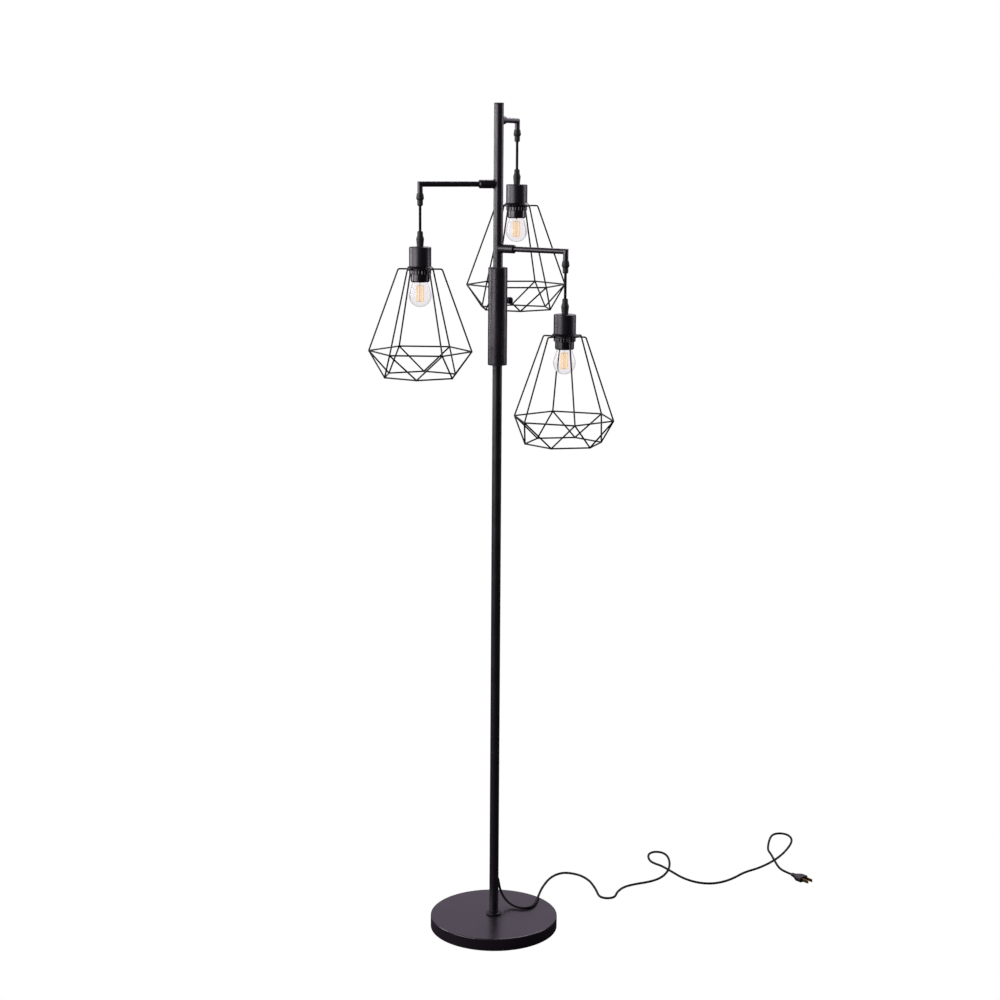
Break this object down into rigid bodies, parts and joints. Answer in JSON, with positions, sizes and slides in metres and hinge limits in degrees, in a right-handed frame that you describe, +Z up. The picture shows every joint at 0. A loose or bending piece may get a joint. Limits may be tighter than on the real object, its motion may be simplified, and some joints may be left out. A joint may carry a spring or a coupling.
{
  "type": "floor lamp",
  "caption": "Tall slim floor lamp with a round weighted foot, arms at stepped heights and hanging lampholders inside faceted wire cages, with a knob switch on the pole.",
  "frame": {"origin": "centre of the foot pad's underside, on the pole's axis", "axes": "+Z up the pole, +X to the right as seen from the front, +Y away from the viewer"},
  "size_m": [0.9094, 0.6995, 1.6],
  "materials": {
    "black_powder_coat": "satin black powder coat",
    "black_wire": "satin black powder coat on welded steel wire",
    "black_plastic": "moulded black",
    "cable_sheath": "soft black PVC sheath",
    "cast_weight": "raw casting",
    "foam_pad": "closed-cell foam",
    "zinc_steel": "bright zinc",
    "brass_pins": "plain brass",
    "bulb_glass": "clear",
    "bulb_cap_metal": "drawn shell",
    "filament": "amber phosphor sticks on a glass stem"
  },
  "bodies": {
    "stand": {"base_pad": "foam_pad", "base_weight": "cast_weight", "base_cover": "black_powder_coat", "base_washer": "zinc_steel", "base_nut": "zinc_steel", "base_stud": "zinc_steel", "foot_collar": "black_powder_coat", "lower_pole_bottom": "black_powder_coat", "lower_pole_middle": "black_powder_coat", "lower_pole_top": "black_powder_coat", "pole_couplers": "zinc_steel", "upper_pole": "black_powder_coat", "pole_cap": "black_powder_coat", "switch_housing": "black_powder_coat", "housing_bottom_cap": "black_plastic", "housing_top_cap": "black_plastic", "rotary_switch": "black_plastic", "switch_nut": "zinc_steel", "inner_wiring": "cable_sheath", "cord_grommet": "black_plastic", "power_cord": "cable_sheath", "plug_body": "black_plastic", "plug_blades": "brass_pins", "back_arm_sleeve": "black_powder_coat", "back_arm_tube": "black_powder_coat", "back_upper_grip": "black_plastic", "left_arm_sleeve": "black_powder_coat", "left_arm_tube": "black_powder_coat", "left_upper_grip": "black_plastic", "right_arm_sleeve": "black_powder_coat", "right_arm_tube": "black_powder_coat", "right_upper_grip": "black_plastic"},
    "knob": {"switch_knob": "black_plastic"},
    "back_flex": {"back_hanging_flex": "cable_sheath"},
    "back_pendant": {"back_lower_grip": "black_plastic", "back_socket_cup": "black_powder_coat", "back_lampholder": "black_plastic", "back_shade_ring": "black_plastic", "back_cage": "black_wire", "back_bulb_glass": "bulb_glass", "back_bulb_cap": "bulb_cap_metal", "back_bulb_filaments": "filament"},
    "left_flex": {"left_hanging_flex": "cable_sheath"},
    "left_pendant": {"left_lower_grip": "black_plastic", "left_socket_cup": "black_powder_coat", "left_lampholder": "black_plastic", "left_shade_ring": "black_plastic", "left_cage": "black_wire", "left_bulb_glass": "bulb_glass", "left_bulb_cap": "bulb_cap_metal", "left_bulb_filaments": "filament"},
    "right_flex": {"right_hanging_flex": "cable_sheath"},
    "right_pendant": {"right_lower_grip": "black_plastic", "right_socket_cup": "black_powder_coat", "right_lampholder": "black_plastic", "right_shade_ring": "black_plastic", "right_cage": "black_wire", "right_bulb_glass": "bulb_glass", "right_bulb_cap": "bulb_cap_metal", "right_bulb_filaments": "filament"}
  },
  "joints": [
    {"name": "knob_turn", "type": "hinge", "parent": "stand", "child": "knob", "pos_m": [0.02311, 0.01078, 1.238], "axis": [0.9063, 0.4226, 0], "continuous": true},
    {"name": "back_flex_swing", "type": "hinge", "parent": "stand", "child": "back_flex", "pos_m": [0.03502, 0.14586, 1.5295], "axis": [0.9724, -0.2334, 0], "range_deg": [-8, 20]},
    {"name": "back_pendant_swing", "type": "hinge", "parent": "back_flex", "child": "back_pendant", "pos_m": [0.03502, 0.14586, 1.478], "axis": [0.2334, 0.9724, 0], "range_deg": [-15, 15]},
    {"name": "left_flex_swing", "type": "hinge", "parent": "stand", "child": "left_flex", "pos_m": [-0.14266, -0.04635, 1.4135], "axis": [-0.309, 0.9511, 0], "range_deg": [-8, 20]},
    {"name": "left_pendant_swing", "type": "hinge", "parent": "left_flex", "child": "left_pendant", "pos_m": [-0.14266, -0.04635, 1.368], "axis": [-0.9511, -0.309, 0], "range_deg": [-15, 15]},
    {"name": "right_flex_swing", "type": "hinge", "parent": "stand", "child": "right_flex", "pos_m": [0.12287, -0.08604, 1.2955], "axis": [-0.5736, -0.8192, 0], "range_deg": [-8, 20]},
    {"name": "right_pendant_swing", "type": "hinge", "parent": "right_flex", "child": "right_pendant", "pos_m": [0.12287, -0.08604, 1.25], "axis": [0.8192, -0.5736, 0], "range_deg": [-15, 15]}
  ]
}
